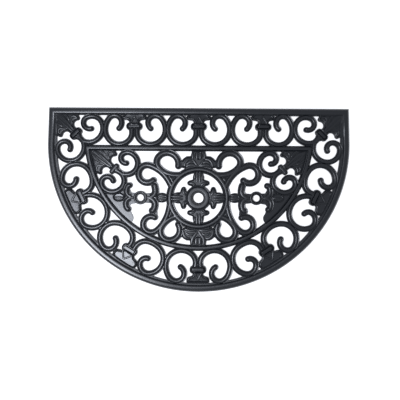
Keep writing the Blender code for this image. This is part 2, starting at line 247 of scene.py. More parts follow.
def half_round(side, top, bottom):
    """The mat's outline, or one inside it by these margins: a straight side and an ellipse."""
    half, straight = WIDTH / 2 - side, DEPTH / 2 - top
    curve = []
    for i in range(RIM_STEPS + 1):
        turn = math.pi + math.pi * i / RIM_STEPS
        drop = (CURVE_HEIGHT - bottom) * math.sin(turn)
        curve.append((half * math.cos(turn), CURVE_HEIGHT - DEPTH / 2 + drop))
    return [(-half + CORNER_LEAN, straight)] + curve + [(half - CORNER_LEAN, straight)]


rim = banded("rim", [ring(half_round(0, 0, 0), *step) for step in RIM_SECTION]
    + [ring(half_round(RIM_SIDE, RIM_TOP, RIM_BOTTOM), *step) for step in LEDGE_SECTION])


# Inner frame, a D-shaped moulding that parts the border of scrolls from the field. It is a
# raised bead between two grooves, with a low flange on both sides, moulded in one.

FRAME_TOP_Y, FRAME_RADIUS, FRAME_CENTRE = 128.2, 277.5, (0.0, 158.0)
FRAME_STEP = 2.5
FRAME_HALF_SECTION = (
    (7.4, 0), (7.4, 3.9), (7.0, 4.9), (6.3, 5.3), (5.6, 4.9), (5.1, 4.5), (4.7, 5.2),
    (4.2, 7.2), (3.4, 8.8), (2.3, 9.5),
)


def polar(centre, radius, angle):
    turn = math.radians(angle)
    return (centre[0] + radius * math.cos(turn), centre[1] + radius * math.sin(turn))


def arc(centre, radius, first, last, step):
    count = max(1, round(abs(last - first) / step))
    return [polar(centre, radius, first + (last - first) * i / count) for i in range(count + 1)]


def both_sides(half):
    """The left side of a section after its right side."""
    return list(half) + [(-across, height) for across, height in reversed(half) if across > 0]


frame_rise = math.degrees(math.asin((FRAME_CENTRE[1] - FRAME_TOP_Y) / FRAME_RADIUS))
frame_line = arc(FRAME_CENTRE, FRAME_RADIUS, 180 + frame_rise, 360 - frame_rise, FRAME_STEP)
lofted("inner_frame", frame_line, both_sides(FRAME_HALF_SECTION))


# Round window in the middle, the domed boss in it, and the small eyelet rings beside it. All
# are turned shapes of the mould: a bead with a groove round it, open right through.

WINDOW_CENTRE, WINDOW_RADIUS = (0.0, 5.0), 71.1
SMALL_RING_CENTRE = (-144.0, 5.0)
WINDOW_STEPS, BOSS_STEPS, SMALL_STEPS = 90, 54, 36
WINDOW_SECTION = tuple((WINDOW_RADIUS + across, height) for across, height in both_sides((
    (9.2, 0), (9.2, 3.7), (8.8, 4.8), (7.9, 5.4), (6.6, 5.3), (5.4, 4.7), (4.6, 4.3),
    (4.2, 5.0), (3.8, 7.0), (3.0, 8.6), (1.9, 9.3),
)))
BOSS_SECTION = (
    (32.3, 0), (32.3, 3.9), (31.8, 4.9), (30.8, 5.3), (29.6, 4.9), (28.6, 4.6), (27.9, 5.4),
    (27.1, 7.6), (26.1, 9.0), (24.8, 9.5), (18.6, 9.35), (17.2, 8.9), (16.2, 7.6), (15.4, 6.0),
    (14.6, 5.2), (13.6, 5.0), (12.8, 4.5), (12.4, 3.8), (12.4, 0),
)
SMALL_RING_SECTION = (
    (17.2, 0), (17.2, 4.4), (16.9, 5.6), (16.4, 6.6), (15.7, 7.4), (14.8, 7.8), (13.6, 7.8),
    (12.7, 7.4), (12.1, 6.3), (11.6, 5.0), (11.2, 4.4), (10.6, 4.4), (10.1, 5.0), (9.6, 5.5),
    (9.0, 5.6), (8.5, 5.2), (8.2, 4.2), (8.2, 0),
)


def turned(name, centre, section, steps):
    """A ring whose section gives each corner's radius and height."""
    corners = []
    for radius, height in section:
        for k in range(steps):
            x, y = polar(centre, radius, 360 * k / steps)
            corners.append((x * MM, y * MM, height * MM))
    faces = []
    for k in range(len(section)):
        low, high = k * steps, (k + 1) % len(section) * steps
        for i in range(steps):
            j = (i + 1) % steps
            faces.append((low + i, low + j, high + j, high + i))
    mesh = bpy.data.meshes.new(name)
    mesh.from_pydata(corners, [], faces)
    return add_form(name, mesh)


turned("window_ring", WINDOW_CENTRE, WINDOW_SECTION, WINDOW_STEPS)
turned("boss", WINDOW_CENTRE, BOSS_SECTION, BOSS_STEPS)
turned("small_ring", SMALL_RING_CENTRE, SMALL_RING_SECTION, SMALL_STEPS)


# Scrolls, copied in rubber from bent wrought-iron bar. Each is one bar that follows a row of
# tangent arcs, with a round bead on a low flange and a groove on both sides of the bead, and
# ends in a rounded nose. Its first few millimetres are buried in the collar or ring it leaves.

PITCH = 160.0
TURN_STEP, LONGEST_STEP = 7.5, 6.0
LEFT, RIGHT = 1, -1
NOSE_STEPS = 12
NOSE_OVERLAP = 0.04
BURIED = 2.0
BAR_WIDTH = 15.0
BAR_HALF_SECTION = (
    (1.0, 0), (1.0, 4.2), (0.965, 5.2), (0.875, 5.75), (0.745, 5.65), (0.64, 5.15),
    (0.565, 5.5), (0.51, 6.7), (0.42, 8.0), (0.25, 8.75), (0, 9.0),
)

# A bar leaves its start on a heading and bends to its side, by arcs of a radius and a turn.
Bar = namedtuple("Bar", "width start heading side bends buried", defaults=(BURIED,))
PAIR_SCROLL = Bar(14.5, (6.5, 168.0), -93, LEFT,
    ((27, 52), (37, 129), (43, 43), (19, 71), (18, 120)), 6.0)
PAIRS = ((-PITCH, LEFT, 1.0), (-PITCH, RIGHT, 0.94), (0.0, RIGHT, 1.0))
SCROLLS = {
    "corner_upper": Bar(13.8, (-296.5, 156.5), -71, LEFT,
        ((21, 57), (35, 124), (27, 100), (15, 170)), 3.5),
    "corner_lower": Bar(13.8, (-300.5, 154.5), -15, RIGHT,
        ((21, 60), (35, 112), (31, 80), (18, 105), (14, 107)), 3.5),
    "side_upper": Bar(15.0, (-285.5, 16.0), 12, LEFT,
        ((28, 76), (49, 39), (37, 145), (18, 177)), 0.3),
    "side_lower": Bar(14.6, (-281.0, 10.0), 15, RIGHT,
        ((44, 108), (38, 110), (21, 129), (14, 75)), 1.0),
    "curve_upper": Bar(15.0, (-170.0, -113.5), 46, LEFT,
        ((27, 74), (47, 63), (37, 121), (19, 173)), 0.6),
    "curve_lower": Bar(15.0, (-157.5, -120.0), 64, RIGHT,
        ((30, 80), (60, 26), (38, 132), (22, 106), (15, 99)), 2.0),
    "bottom": Bar(15.2, (-6.9, -164.2), 73, LEFT,
        ((28, 64), (39, 137), (55, 21), (30, 36), (19, 178)), 1.0),
    "field_upper": Bar(15.0, (-204.0, 77.0), -61, LEFT,
        ((29, 39), (28, 181), (20, 55), (13, 148)), 1.0),
    "field_lower": Bar(15.0, (-200.5, 70.5), -22, RIGHT,
        ((26, 110), (31, 89), (20, 57), (15, 155)), 6.0),
    "lyre_top": Bar(17.2, (-55.0, 61.0), 182, RIGHT, ((55, 53), (20, 77), (28, 152)), 12.0),
    "lyre_upper": Bar(17.2, (-72.5, 44.5), 118, LEFT, ((85, 43), (22, 243)), 12.0),
    "lyre_lower": Bar(16.2, (-71.5, -15.5), -97, RIGHT, ((100, 35), (43, 18), (20, 238)), 12.0),
    "lyre_bottom": Bar(17.2, (-61.0, -42.5), -160, LEFT, ((56, 41), (22, 116), (26, 125)), 12.0),
}


def section_guide(name, corners):
    """A closed section for the node trees. A level sweep turns its -Y up."""
    data = bpy.data.curves.new(name, "CURVE")
    data.dimensions = "2D"
    data.fill_mode = "NONE"
    spline = data.splines.new("POLY")
    spline.points.add(len(corners) - 1)
    for point, (across, height) in zip(spline.points, reversed(corners)):
        point.co = (across, -height * MM, 0, 1)
    spline.use_cyclic_u = True
    return bpy.data.objects.new(name, data)


def nose_guide(half_section):
    """Half of the bar's section turned round the bar's end, with a short shank behind."""
    count = len(half_section) - 1
    corners = [(0, 0, half_section[-1][1] * MM), (0, 0, 0)]
    for k in range(NOSE_STEPS + 1):
        for radius, height in half_section[:-1]:
            corners.append((*polar((0, 0), radius, -90 + 180 * k / NOSE_STEPS), height * MM))
    faces = []
    for k in range(NOSE_STEPS):
        low, high = 2 + k * count, 2 + (k + 1) * count
        faces += [(low + i, high + i, high + i + 1, low + i + 1) for i in range(count - 1)]
        faces.append((low + count - 1, high + count - 1, 0))
        faces.append((high, low, 1))
    last = 2 + NOSE_STEPS * count
    back = [2 + i for i in range(count)] + [0] + [last + i for i in reversed(range(count))]
    shank = len(corners)
    corners += [(-NOSE_OVERLAP, corners[i][1], corners[i][2]) for i in back]
    for i in range(len(back)):
        j = (i + 1) % len(back)
        if j:
            faces.append((back[i], back[j], shank + j, shank + i))
    foot = shank + len(back) - 1
    faces += [(back[-1], 1, foot), (1, back[0], shank), (foot, 1, shank)]
    faces.append(tuple(range(shank, foot + 1)))
    mesh = bpy.data.meshes.new("nose_guide")
    mesh.from_pydata(corners, [], faces)
    work = bmesh.new()
    work.from_mesh(mesh)
    bmesh.ops.recalc_face_normals(work, faces=work.faces)
    work.to_mesh(mesh)
    work.free()
    return bpy.data.objects.new("nose_guide", mesh)


def start_tree(name, sizes):
    """A new geometry tree with named inputs, and its group input node."""
    tree = bpy.data.node_groups.new(name, "GeometryNodeTree")
    tree.interface.new_socket(name="Path", in_out="INPUT", socket_type="NodeSocketGeometry")
    for label, kind, value in sizes:
        made = tree.interface.new_socket(name=label, in_out="INPUT", socket_type=kind)
        if value is not None:
            made.default_value = value
    tree.interface.new_socket(name="Form", in_out="OUTPUT", socket_type="NodeSocketGeometry")
    return tree, tree.nodes.new("NodeGroupInput").outputs


def end_tree(tree, geometry):
    """Closes a tree with its material and realised instances."""
    coated = add_node(tree, "GeometryNodeSetMaterial", {"Geometry": geometry, "Material": rubber})
    real = add_node(tree, "GeometryNodeRealizeInstances", {"Geometry": coated.outputs["Geometry"]})
    add_node(tree, "NodeGroupOutput", {"Form": real.outputs["Geometry"]})


def across_only(tree, guide, width, round_too):
    """A guide object's shape, made as wide as the bar. Its heights stay as they are."""
    half = add_node(tree, "ShaderNodeMath", {0: width, 1: 0.5}, operation="MULTIPLY")
    wide = {"X": half.outputs["Value"], "Y": half.outputs["Value"] if round_too else 1.0, "Z": 1.0}
    scale = add_node(tree, "ShaderNodeCombineXYZ", wide)
    shape = add_node(tree, "GeometryNodeObjectInfo", {"Object": guide})
    return add_node(tree, "GeometryNodeTransform", {
        "Geometry": shape.outputs["Geometry"], "Scale": scale.outputs["Vector"],
    }).outputs["Geometry"]


def scroll_tree():
    """A section swept along a path, with a rounded nose on the path's last point."""
    tree, given = start_tree("moulded_scroll", (
        ("Section", "NodeSocketObject", None), ("Nose", "NodeSocketObject", None),
        ("Width", "NodeSocketFloat", BAR_WIDTH * MM), ("Noses", "NodeSocketInt", 1),
    ))
    line = add_node(tree, "GeometryNodeMeshToCurve", {"Mesh": given["Path"]})
    level = add_node(tree, "GeometryNodeSetCurveNormal", {
        "Curve": line.outputs["Curve"],
    }, mode="Z_UP")
    section = across_only(tree, given["Section"], given["Width"], round_too=False)
    bar = add_node(tree, "GeometryNodeCurveToMesh", {
        "Curve": level.outputs["Curve"], "Profile Curve": section, "Fill Caps": True,
    })
    end = add_node(tree, "GeometryNodeCurveEndpointSelection", {
        "Start Size": 0, "End Size": given["Noses"],
    })
    ahead = tree.nodes.new("GeometryNodeInputTangent")
    turn = add_node(tree, "FunctionNodeAlignRotationToVector", {
        "Vector": ahead.outputs["Tangent"],
    }, axis="X", pivot_axis="Z")
    nose = add_node(tree, "GeometryNodeInstanceOnPoints", {
        "Points": line.outputs["Curve"], "Selection": end.outputs["Selection"],
        "Instance": across_only(tree, given["Nose"], given["Width"], round_too=True),
        "Rotation": turn.outputs["Rotation"],
    })
    solid = add_node(tree, "GeometryNodeRealizeInstances", {"Geometry": nose.outputs["Instances"]})
    whole = add_node(tree, "GeometryNodeMeshBoolean", {
        "Mesh 2": bar.outputs["Mesh"],
    }, operation="UNION", solver="MANIFOLD")
    tree.links.new(solid.outputs["Geometry"], whole.inputs["Mesh 2"])
    end_tree(tree, whole.outputs["Mesh"])
    return tree


def follow(name, points, tree, **sizes):
    """Runs a tree along a path, and keeps what it makes as a form of the mould."""
    mesh = bpy.data.meshes.new(name + "_path")
    places = [(x * MM, y * MM, 0) for x, y in points]
    mesh.from_pydata(places, [(i, i + 1) for i in range(len(points) - 1)], [])
    path = bpy.data.objects.new(name + "_path", mesh)
    bpy.context.scene.collection.objects.link(path)
    grown = path.modifiers.new(tree.name, "NODES")
    grown.node_group = tree
    for item in tree.interface.items_tree:
        if item.in_out == "INPUT" and item.name in sizes:
            grown[item.identifier] = sizes[item.name]
    graph = bpy.context.evaluated_depsgraph_get()
    made = bpy.data.meshes.new_from_object(path.evaluated_get(graph))
    made.name = name
    bpy.data.objects.remove(path)
    return add_form(name, made)


def chain(bar):
    """Points along a bar's tangent arcs."""
    heading = bar.heading
    points = [polar(bar.start, -bar.buried, heading), bar.start]
    for radius, turn in bar.bends:
        centre = polar(points[-1], bar.side * radius, heading + 90)
        step = min(TURN_STEP, math.degrees(LONGEST_STEP / radius))
        steps = max(1, round(turn / step))
        for i in range(1, steps + 1):
            angle = heading + 90 + bar.side * turn * i / steps
            points.append(polar(centre, -bar.side * radius, angle))
        heading += bar.side * turn
    return points


bar_section = section_guide("bar_section", both_sides(BAR_HALF_SECTION))
bar_nose = nose_guide(BAR_HALF_SECTION)
scroll = scroll_tree()
for name, bar in SCROLLS.items():
    follow(name, chain(bar), scroll, Section=bar_section, Nose=bar_nose, Width=bar.width * MM)
for axis, side, squeeze in PAIRS:
    points = [(axis + side * squeeze * x, y) for x, y in chain(PAIR_SCROLL)]
    follow("pair", points, scroll, Section=bar_section, Nose=bar_nose,
        Width=PAIR_SCROLL.width * MM)


# Pedestals, the feet that stand on the rim and hold two scrolls each. Each is a low plate with
# a beaded edge and a V of beading on it, and a wide collar wraps the scrolls where they leave.

Pedestal = namedtuple("Pedestal", "place axis foot shift collar vee")
TOP_FOOT = (
    (26.5, -35.0), (26.5, -28.5), (31.5, -25.0), (31.0, -17.5), (24.5, -16.0), (17.0, -15.0),
    (13.8, -12.5), (13.0, -8.0), (14.5, 0.0),
)
CURVE_FOOT = (
    (33.0, -38.5), (33.5, -31.0), (35.5, -24.5), (32.0, -16.5), (25.5, -12.8), (19.0, -11.5),
    (15.5, -7.0), (17.5, 0.0),
)
BOTTOM_FOOT = (
    (28.5, -34.5), (29.0, -26.0), (27.0, -19.5), (22.0, -17.0), (16.5, -16.0), (13.6, -13.0),
    (13.2, -8.0), (14.5, 0.0),
)
TOP_VEE = ((-9.0, -8.5), (0.0, -25.0), (9.0, -8.5))
CURVE_VEE = ((-13.5, -9.5), (0.0, -27.5), (13.5, -9.5))
BOTTOM_VEE = ((-7.5, -9.5), (0.0, -26.0), (7.5, -9.5))
PEDESTALS = (
    Pedestal((-PITCH, 182.0), -90, TOP_FOOT, 0.0, (20.6, 9.8), TOP_VEE),
    Pedestal((0.0, 182.0), -90, TOP_FOOT, 0.0, (20.6, 9.8), TOP_VEE),
    Pedestal((-289.5, 7.0), 25, CURVE_FOOT, 1.5, (21.3, 10.4), CURVE_VEE),
    Pedestal((-170.0, -124.2), 57, CURVE_FOOT, 3.0, (21.3, 10.4), CURVE_VEE),
    Pedestal((0.0, -173.0), 90, BOTTOM_FOOT, 0.0, (21.0, 10.6), BOTTOM_VEE),
)
GROUND = 4.6
PLATE_SECTION = (
    (0, 0), (0, 3.8), (0.5, 4.8), (1.1, 5.0), (1.7, 4.7), (2.3, 5.5), (2.9, 6.8), (3.5, 7.4),
    (4.3, 7.5), (5.0, 6.9), (5.6, 5.8), (6.2, 4.9), (7.0, GROUND),
)
COLLAR_SECTION = (
    (0, 0), (0, 4.0), (0.6, 5.8), (1.2, 7.4), (1.9, 8.5), (2.6, 8.8), (3.2, 8.5), (3.8, 7.5),
    (4.4, 6.2), (4.9, 5.3), (5.4, 5.3), (5.9, 6.4), (6.4, 8.0), (6.9, 9.0), (7.5, 9.3),
)
COLLAR_ROUND, ROUND_STEP = 9.0, 15
CORNER_CUT = 0.25
RIB_HALF_SECTION = (
    (1.0, -3.0), (1.0, 0.2), (0.93, 1.3), (0.8, 2.0), (0.6, 2.4), (0.3, 2.6), (0, 2.65),
)
RIB_WIDTH, RIB_STEPS, RIB_THINNING, RIB_TAPER = 4.2, 12, 0.6, 0.6
VEE_WIDTH, VEE_STEPS = 5.0, 4


def placed(points, place, axis):
    """Local points, across and along an axis, put on the mat."""
    across, along = polar((0, 0), 1, axis - 90), polar((0, 0), 1, axis)
    return [
        (place[0] + x * across[0] + y * along[0], place[1] + x * across[1] + y * along[1])
        for x, y in points
    ]


def mirrored(points):
    return [(-x, y) for x, y in points]


def both_halves(points):
    """A half outline and its mirror image, as one closed outline."""
    return list(points) + [(-x, y) for x, y in reversed(points) if abs(x) > NEGLIGIBLE]


def eased(points, times):
    """A closed outline with its corners cut off so many times that they look rounded."""
    kept = 1 - CORNER_CUT
    for _ in range(times):
        cut = []
        for (ax, ay), (bx, by) in zip(points, points[1:] + points[:1]):
            cut.append((kept * ax + CORNER_CUT * bx, kept * ay + CORNER_CUT * by))
            cut.append((CORNER_CUT * ax + kept * bx, CORNER_CUT * ay + kept * by))
        points = cut
    return points


def rounded_block(half_length, half_width, radius):
    quarter = arc((half_length - radius, half_width - radius), radius, 0, 90, ROUND_STEP)
    right = [(x, -y) for x, y in reversed(quarter)] + quarter
    return both_halves(right)


def rib_tree():
    """A low rounded rib along a smooth line, thinner towards both ends."""
    tree, given = start_tree("moulded_rib", (
        ("Section", "NodeSocketObject", None), ("Width", "NodeSocketFloat", RIB_WIDTH * MM),
        ("Ground", "NodeSocketFloat", GROUND * MM), ("Steps", "NodeSocketInt", RIB_STEPS),
        ("Thinning", "NodeSocketFloat", RIB_THINNING),
    ))
    line = add_node(tree, "GeometryNodeMeshToCurve", {"Mesh": given["Path"]})
    smooth = add_node(tree, "GeometryNodeCurveSplineType", {
        "Curve": line.outputs["Curve"],
    }, spline_type="CATMULL_ROM")
    fine = add_node(tree, "GeometryNodeResampleCurve", {
        "Curve": smooth.outputs["Curve"], "Count": given["Steps"],
    })
    lift = add_node(tree, "ShaderNodeCombineXYZ", {"Z": given["Ground"]})
    raised = add_node(tree, "GeometryNodeTransform", {
        "Geometry": fine.outputs["Curve"], "Translation": lift.outputs["Vector"],
    })
    level = add_node(tree, "GeometryNodeSetCurveNormal", {
        "Curve": raised.outputs["Geometry"],
    }, mode="Z_UP")
    along = tree.nodes.new("GeometryNodeSplineParameter")
    swing = add_node(tree, "ShaderNodeMath", {
        0: along.outputs["Factor"], 1: math.pi,
    }, operation="MULTIPLY")
    full = add_node(tree, "ShaderNodeMath", {0: swing.outputs["Value"]}, operation="SINE")
    soft = add_node(tree, "ShaderNodeMath", {
        0: full.outputs["Value"], 1: RIB_TAPER,
    }, operation="POWER")
    thin = add_node(tree, "ShaderNodeMath", {0: 1.0, 1: given["Thinning"]}, operation="SUBTRACT")
    size = add_node(tree, "ShaderNodeMath", {
        0: soft.outputs["Value"], 1: given["Thinning"], 2: thin.outputs["Value"],
    }, operation="MULTIPLY_ADD")
    rib = add_node(tree, "GeometryNodeCurveToMesh", {
        "Curve": level.outputs["Curve"], "Scale": size.outputs["Value"], "Fill Caps": True,
        "Profile Curve": across_only(tree, given["Section"], given["Width"], round_too=False),
    })
    end_tree(tree, rib.outputs["Mesh"])
    return tree


rib_section = section_guide("rib_section", both_sides(RIB_HALF_SECTION))
rib = rib_tree()
for pedestal in PEDESTALS:
    place, axis = pedestal.place, pedestal.axis
    plate = [(x + pedestal.shift, y) for x, y in eased(both_halves(pedestal.foot), times=2)]
    lofted("pedestal", placed(plate, place, axis), PLATE_SECTION, filled=True)
    for leg in (pedestal.vee[:2], pedestal.vee[1:]):
        follow("vee", placed(leg, place, axis), rib, Section=rib_section, Width=VEE_WIDTH * MM,
            Steps=VEE_STEPS, Thinning=0.0)
    collar = placed(rounded_block(*pedestal.collar, COLLAR_ROUND), place, axis)
    lofted("collar", collar, COLLAR_SECTION, filled=True)


# Corner leaves, acanthus leaves that fill the corners of the rim and of the inner frame. Each
# is a thin web with a rolled edge, two curled lobes and ribs that fan out of an oval tie.

Leaf = namedtuple("Leaf", "tie axis tie_size tie_section reach lobe hollow")
PLAIN_TIE = (
    (0, 0), (0, 5.0), (0.5, 6.4), (1.5, 7.2), (2.6, 7.6), (3.4, 8.8), (4.2, 9.4), (5.2, 9.5),
)
LEAVES = (
    Leaf((-305.0, 163.2), 135, (17.6, 9.8), COLLAR_SECTION, 80, (29.7, 25.3), (19.8, 13.0)),
    Leaf((-209.2, 76.2), 141, (15.0, 6.6), PLAIN_TIE, 86, (29.0, 22.6), (17.6, 12.4)),
)
LOBE_RADIUS, LOBE_TURNS = 6.4, (-110, 10, 20)
HOLLOW_RADIUS, HOLLOW_TURNS = 9.4, (190, 60, 13)
NECK_HALF_WIDTH, SHOULDER = 8.5, (13, 9)
TIE_OVERLAP, TIE_ROUND_SHARE = 3, 0.8
LEAF_SECTION = (
    (0, 0), (0, 3.4), (0.5, 5.0), (1.4, 6.3), (2.6, 6.9), (3.8, 6.5), (4.7, 5.2), (5.3, 3.6),
    (5.9, 2.7), (6.6, 2.6), (7.2, 2.9), (7.8, 3.2),
)
LEAF_BUD = (
    (2.6, 6.0), (3.4, 18.0), (5.4, 29.0), (8.8, 41.0), (10.4, 50.0), (8.8, 59.0), (4.5, 66.0),
    (0.0, 68.5),
)
LEAF_BUD_SECTION = ((0, 0), (0, 3.4), (0.6, 4.8), (1.5, 5.2))
FAN_STEPS = 10
LEAF_RIBS = (
    (7.0, 4.4, ((2.4, 11.0), (4.0, 32.0), (4.6, 48.0), (3.2, 64.0))),
    (5.0, 3.4, ((11.4, 36.0), (14.8, 47.0), (14.5, 58.0))),
    (5.6, 3.4, ((10.5, 22.0), (14.0, 31.0), (20.0, 37.0), (27.0, 35.0), (29.5, 28.5))),
)


def ribs_on(place, axis, ribs, thinning=0.5):
    """Ribs given for one half of an ornament by width, ground and line, made on both halves."""
    for width, ground, line in ribs:
        for half in (line, mirrored(line)):
            follow("rib", placed(half, place, axis), rib, Section=rib_section, Width=width * MM,
                Ground=ground * MM, Steps=FAN_STEPS, Thinning=thinning)


for leaf in LEAVES:
    length, width = leaf.tie_size
    half = (
        [(0, width - TIE_OVERLAP), (NECK_HALF_WIDTH, width - TIE_OVERLAP)]
        + arc(leaf.hollow, HOLLOW_RADIUS, *HOLLOW_TURNS)
        + arc(leaf.lobe, LOBE_RADIUS, *LOBE_TURNS)
        + [(leaf.lobe[0] + SHOULDER[0], leaf.lobe[1] + SHOULDER[1]), (0, leaf.reach)]
    )
    lofted("leaf", placed(both_halves(half), leaf.tie, leaf.axis), LEAF_SECTION, filled=True)
    bud = placed(eased(both_halves(LEAF_BUD), times=1), leaf.tie, leaf.axis)
    lofted("leaf_bud", bud, LEAF_BUD_SECTION, filled=True)
    tie = placed(rounded_block(length, width, width * TIE_ROUND_SHARE), leaf.tie, leaf.axis)
    lofted("tie", tie, leaf.tie_section, filled=True)
    ribs_on(leaf.tie, leaf.axis, LEAF_RIBS)


# Fleurs, the four stems with two lobes that hold the boss in the window. Each is a low plate
# with rounded edges and reeding along the stem.

FLEUR = (
    (9.5, 66.5), (11.5, 61.0), (13.8, 55.0), (14.6, 50.0), (14.0, 46.0), (17.5, 45.0),
    (23.0, 43.5), (27.0, 41.0), (28.5, 37.0), (27.0, 32.5), (22.5, 30.0), (17.5, 29.5),
    (15.0, 26.0), (13.0, 22.0),
)
FLEUR_SECTION = (
    (0, 0), (0, 3.4), (0.5, 4.8), (1.3, 6.2), (2.2, 6.6), (3.0, 5.8), (3.6, 4.4), (4.2, 3.8),
)
FLEUR_RIBS = (
    (6.4, 4.0, ((3.6, 68.0), (3.6, 54.0), (3.4, 38.0))),
    (4.8, 3.8, ((9.0, 64.0), (9.6, 55.0), (8.6, 46.0))),
    (6.4, 3.8, ((7.0, 31.0), (13.0, 36.5), (22.5, 36.5))),
)

for axis in (0, 90, 180, 270):
    fleur = placed(eased(both_halves(FLEUR), times=1), WINDOW_CENTRE, axis)
    lofted("fleur", fleur, FLEUR_SECTION, filled=True)
    ribs_on(WINDOW_CENTRE, axis, FLEUR_RIBS, thinning=0.4)


# Palmettes above and below the window. Each is a low plate with a beaded bud in the middle
# and two lobes of curved ribs, and joins the window to the frame.

TOP_PALMETTE = (
    (16.5, 124.0), (17.8, 117.0), (19.5, 112.0), (19.5, 109.5), (30.5, 108.5), (37.5, 103.5),
    (41.0, 99.5), (48.0, 97.0), (48.0, 80.0), (36.0, 79.0), (35.0, 72.0),
)
BOTTOM_PALMETTE = (
    (18.5, -117.0), (20.5, -105.0), (21.0, -101.5), (29.0, -101.0), (36.0, -97.0), (40.0, -93.0),
    (46.0, -94.0), (48.0, -86.0), (42.0, -72.0), (30.0, -66.0), (20.0, -60.0),
)
PALMETTE_SECTION = (
    (0, 0), (0, 3.4), (0.5, 4.8), (1.3, 6.2), (2.3, 7.0), (3.2, 6.6), (4.0, 5.4), (4.6, 4.2),
    (5.2, 3.2),
)
BUD_SECTION = ((0, 0), (0, 3.2), (0.8, 5.4), (1.6, 6.8), (2.4, 6.4), (3.1, 5.0), (3.7, 4.2))
TOP_RIBS = (
    (6.6, 3.8, ((3.5, 84.5), (12.0, 86.5), (21.0, 87.0), (31.0, 83.0))),
    (6.2, 4.2, ((2.0, 84.0), (8.0, 91.5), (12.5, 98.0), (16.5, 103.5))),
    (6.4, 3.8, ((11.0, 91.5), (17.0, 94.5), (24.0, 93.0), (28.5, 88.5))),
    (6.4, 3.8, ((16.0, 101.5), (24.0, 100.5), (30.5, 96.0), (34.0, 89.5), (35.0, 83.5))),
    (6.0, 3.8, ((14.0, 101.0), (14.6, 110.0), (13.6, 121.0))),
)
BOTTOM_RIBS = (
    (7.2, 3.8, ((3.0, -75.5), (12.0, -76.5), (22.0, -76.0), (33.0, -72.5))),
    (6.8, 3.8, ((9.0, -83.0), (15.0, -86.0), (22.0, -86.5), (31.0, -81.5))),
    (8.4, 4.2, ((1.0, -77.0), (6.5, -85.5), (12.5, -93.5), (15.0, -102.0), (14.5, -113.0))),
    (7.6, 3.6, ((19.5, -95.5), (28.0, -94.5), (35.0, -87.5), (37.0, -76.0))),
)
BUDS = (
    ((0.0, 110.0), 10.0, 10.5, (7.2, 4.4, ((4.0, 101.0), (4.4, 110.0), (4.0, 119.0)))),
    ((0.0, -103.5), 10.6, 12.8, (7.8, 4.4, ((4.2, -93.5), (4.6, -103.0), (4.2, -112.5)))),
)
OVAL_STEPS = 32


def oval(centre, half_width, half_height):
    points = []
    for i in range(OVAL_STEPS):
        turn = math.tau * i / OVAL_STEPS
        across, up = half_width * math.cos(turn), half_height * math.sin(turn)
        points.append((centre[0] + across, centre[1] + up))
    return points


for half, ribs in ((TOP_PALMETTE, TOP_RIBS), (BOTTOM_PALMETTE, BOTTOM_RIBS)):
    lofted("palmette", both_halves(half), PALMETTE_SECTION, filled=True)
    ribs_on((0, 0), 90, ribs, thinning=0.45)
for centre, half_width, half_height, ribs in BUDS:
    lofted("bud", oval(centre, half_width, half_height), BUD_SECTION, filled=True)
    ribs_on((0, 0), 90, (ribs,), thinning=0.3)


# Arms that join the window to the frame through the small rings. Four curls and two leaves
# lie on a thin web that closes the space beside the frame, and a reeded stem runs between.

WEB, WEB_ROUND = 3.0, 0.6
WEB_SECTION = ((0, 0), (0, WEB - WEB_ROUND), (WEB_ROUND, WEB))
CURLS = (
    Bar(18.5, (-117.0, 7.0), 20, LEFT, ((16, 75), (60, 12))),
    Bar(18.5, (-118.0, 3.0), -20, RIGHT, ((16, 75), (32, 16), (9, 45))),
    Bar(15.5, (-169.5, 8.0), 160, RIGHT, ((14, 75), (34, 14), (8, 62))),
    Bar(15.5, (-171.0, 3.5), -160, LEFT, ((14, 75), (34, 12), (8, 55))),
)
ARM_LEAVES = (((-90.5, 5.2), 15.5, 12.6), ((-197.5, 6.0), 15.8, 11.8))
ARM_LEAF_SECTION = (
    (0, 0), (0, 3.8), (0.6, 5.2), (1.4, 6.2), (2.6, 6.6), (3.4, 6.0), (4.0, 4.6), (4.8, 4.2),
)
ARM_LEAF_RIBS = (
    ((-102.0, 5.2), (-90.5, 5.2), (-79.0, 5.2)), ((-100.0, 10.5), (-90.5, 11.6), (-80.0, 10.5)),
    ((-100.0, 0.0), (-90.5, -1.2), (-80.0, 0.0)), ((-209.0, 6.0), (-197.0, 6.0), (-186.0, 5.6)),
)
ARM_RIB_WIDTH, ARM_RIB_GROUND = 5.0, 4.2
ARM_STEMS = (((-184.0, 5.5), (-158.0, 5.0)), ((-130.0, 5.0), (-103.0, 5.0)))
ARM_STEM_WIDTH, ARM_STEM_GROUND = 9.0, 3.2
WEB_BULGE_CENTRE, WEB_BULGE_RADIUS = (-176.0, -45.0), 14.8
WEB_EYELET = 12.5
ARM_WEB = (
    [(-153, 16.5), (-166, 17.5), (-170, 25), (-168, 36), (-184, 44), (-190, 30), (-213, 18.5)]
    + [(-232, 24)]
    + arc(FRAME_CENTRE, FRAME_RADIUS, 209, 231.5, 7.5)
    + arc(WEB_BULGE_CENTRE, WEB_BULGE_RADIUS, -70, 45, 10)
    + [(-168, -27), (-172, -18), (-167, -11), (-153, -8.5)]
    + arc(SMALL_RING_CENTRE, WEB_EYELET, 247, 114, 15)
)
STEM_WEB = (
    [(-128, -8), (-118, -9), (-104, -4), (-98, -1.5), (-74, -2), (-74, 12), (-98, 11.5), (-104, 14)]
    + [(-118, 17), (-128, 16)]
    + arc(SMALL_RING_CENTRE, WEB_EYELET, 66, -66, 15)
)
FORK_WEBS = (
    [(-55.0, 61.0), (-85.0, 62.0), (-75.0, 42.0), (-60.0, 48.0)],
    [(-60.0, -42.0), (-80.0, -50.0), (-82.0, -42.0), (-74.0, -20.0), (-60.0, -35.0)],
    [(-121.0, -26.0), (-102.0, -26.0), (-101.0, -38.0), (-119.0, -36.0)],
)

